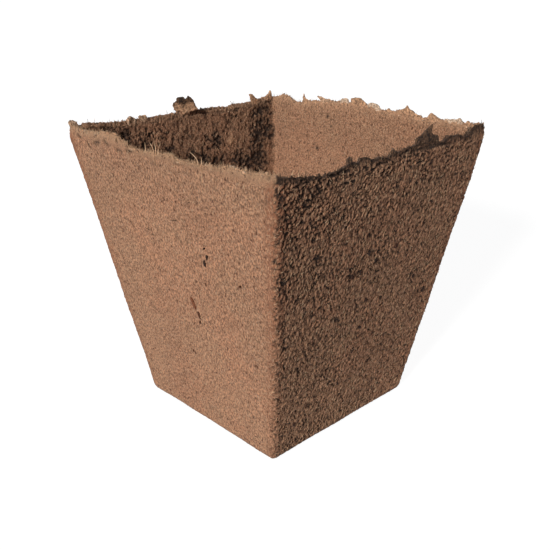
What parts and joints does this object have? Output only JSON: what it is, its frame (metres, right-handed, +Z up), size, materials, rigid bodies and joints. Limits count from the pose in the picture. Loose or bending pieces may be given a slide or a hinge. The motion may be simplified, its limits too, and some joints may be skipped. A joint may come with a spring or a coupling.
{
  "type": "peat pot",
  "caption": "Square tapered seedling pot of pressed peat and wood fibre, with a torn rim, loose fibres, bark in its walls and a drain hole.",
  "frame": {"origin": "centre of the bottom of the bounding box, on the plane that the pot stands on", "axes": "+Z up along the pot's axis, the wall with the reddish sliver of bark faces -Y and the wall with the dark chips faces +X"},
  "size_m": [0.0809, 0.08, 0.0854],
  "materials": {
    "pressed_peat": "matte felted fibre",
    "torn_peat": "torn, rough",
    "pale_fibre": "matte",
    "bark": "matte"
  },
  "bodies": {
    "root": {"pot_body": "pressed_peat", "curled_flake_left_rim": "torn_peat", "torn_flakes_left_rim": "torn_peat", "torn_flakes_back_rim": "torn_peat", "torn_flakes_right_rim": "torn_peat", "torn_flakes_front_rim": "torn_peat", "loose_fibres_front_rim": "pale_fibre", "loose_fibres_right_rim": "pale_fibre", "bark_slivers_front_wall": "bark", "bark_chips_right_wall": "bark"}
  },
  "joints": []
}
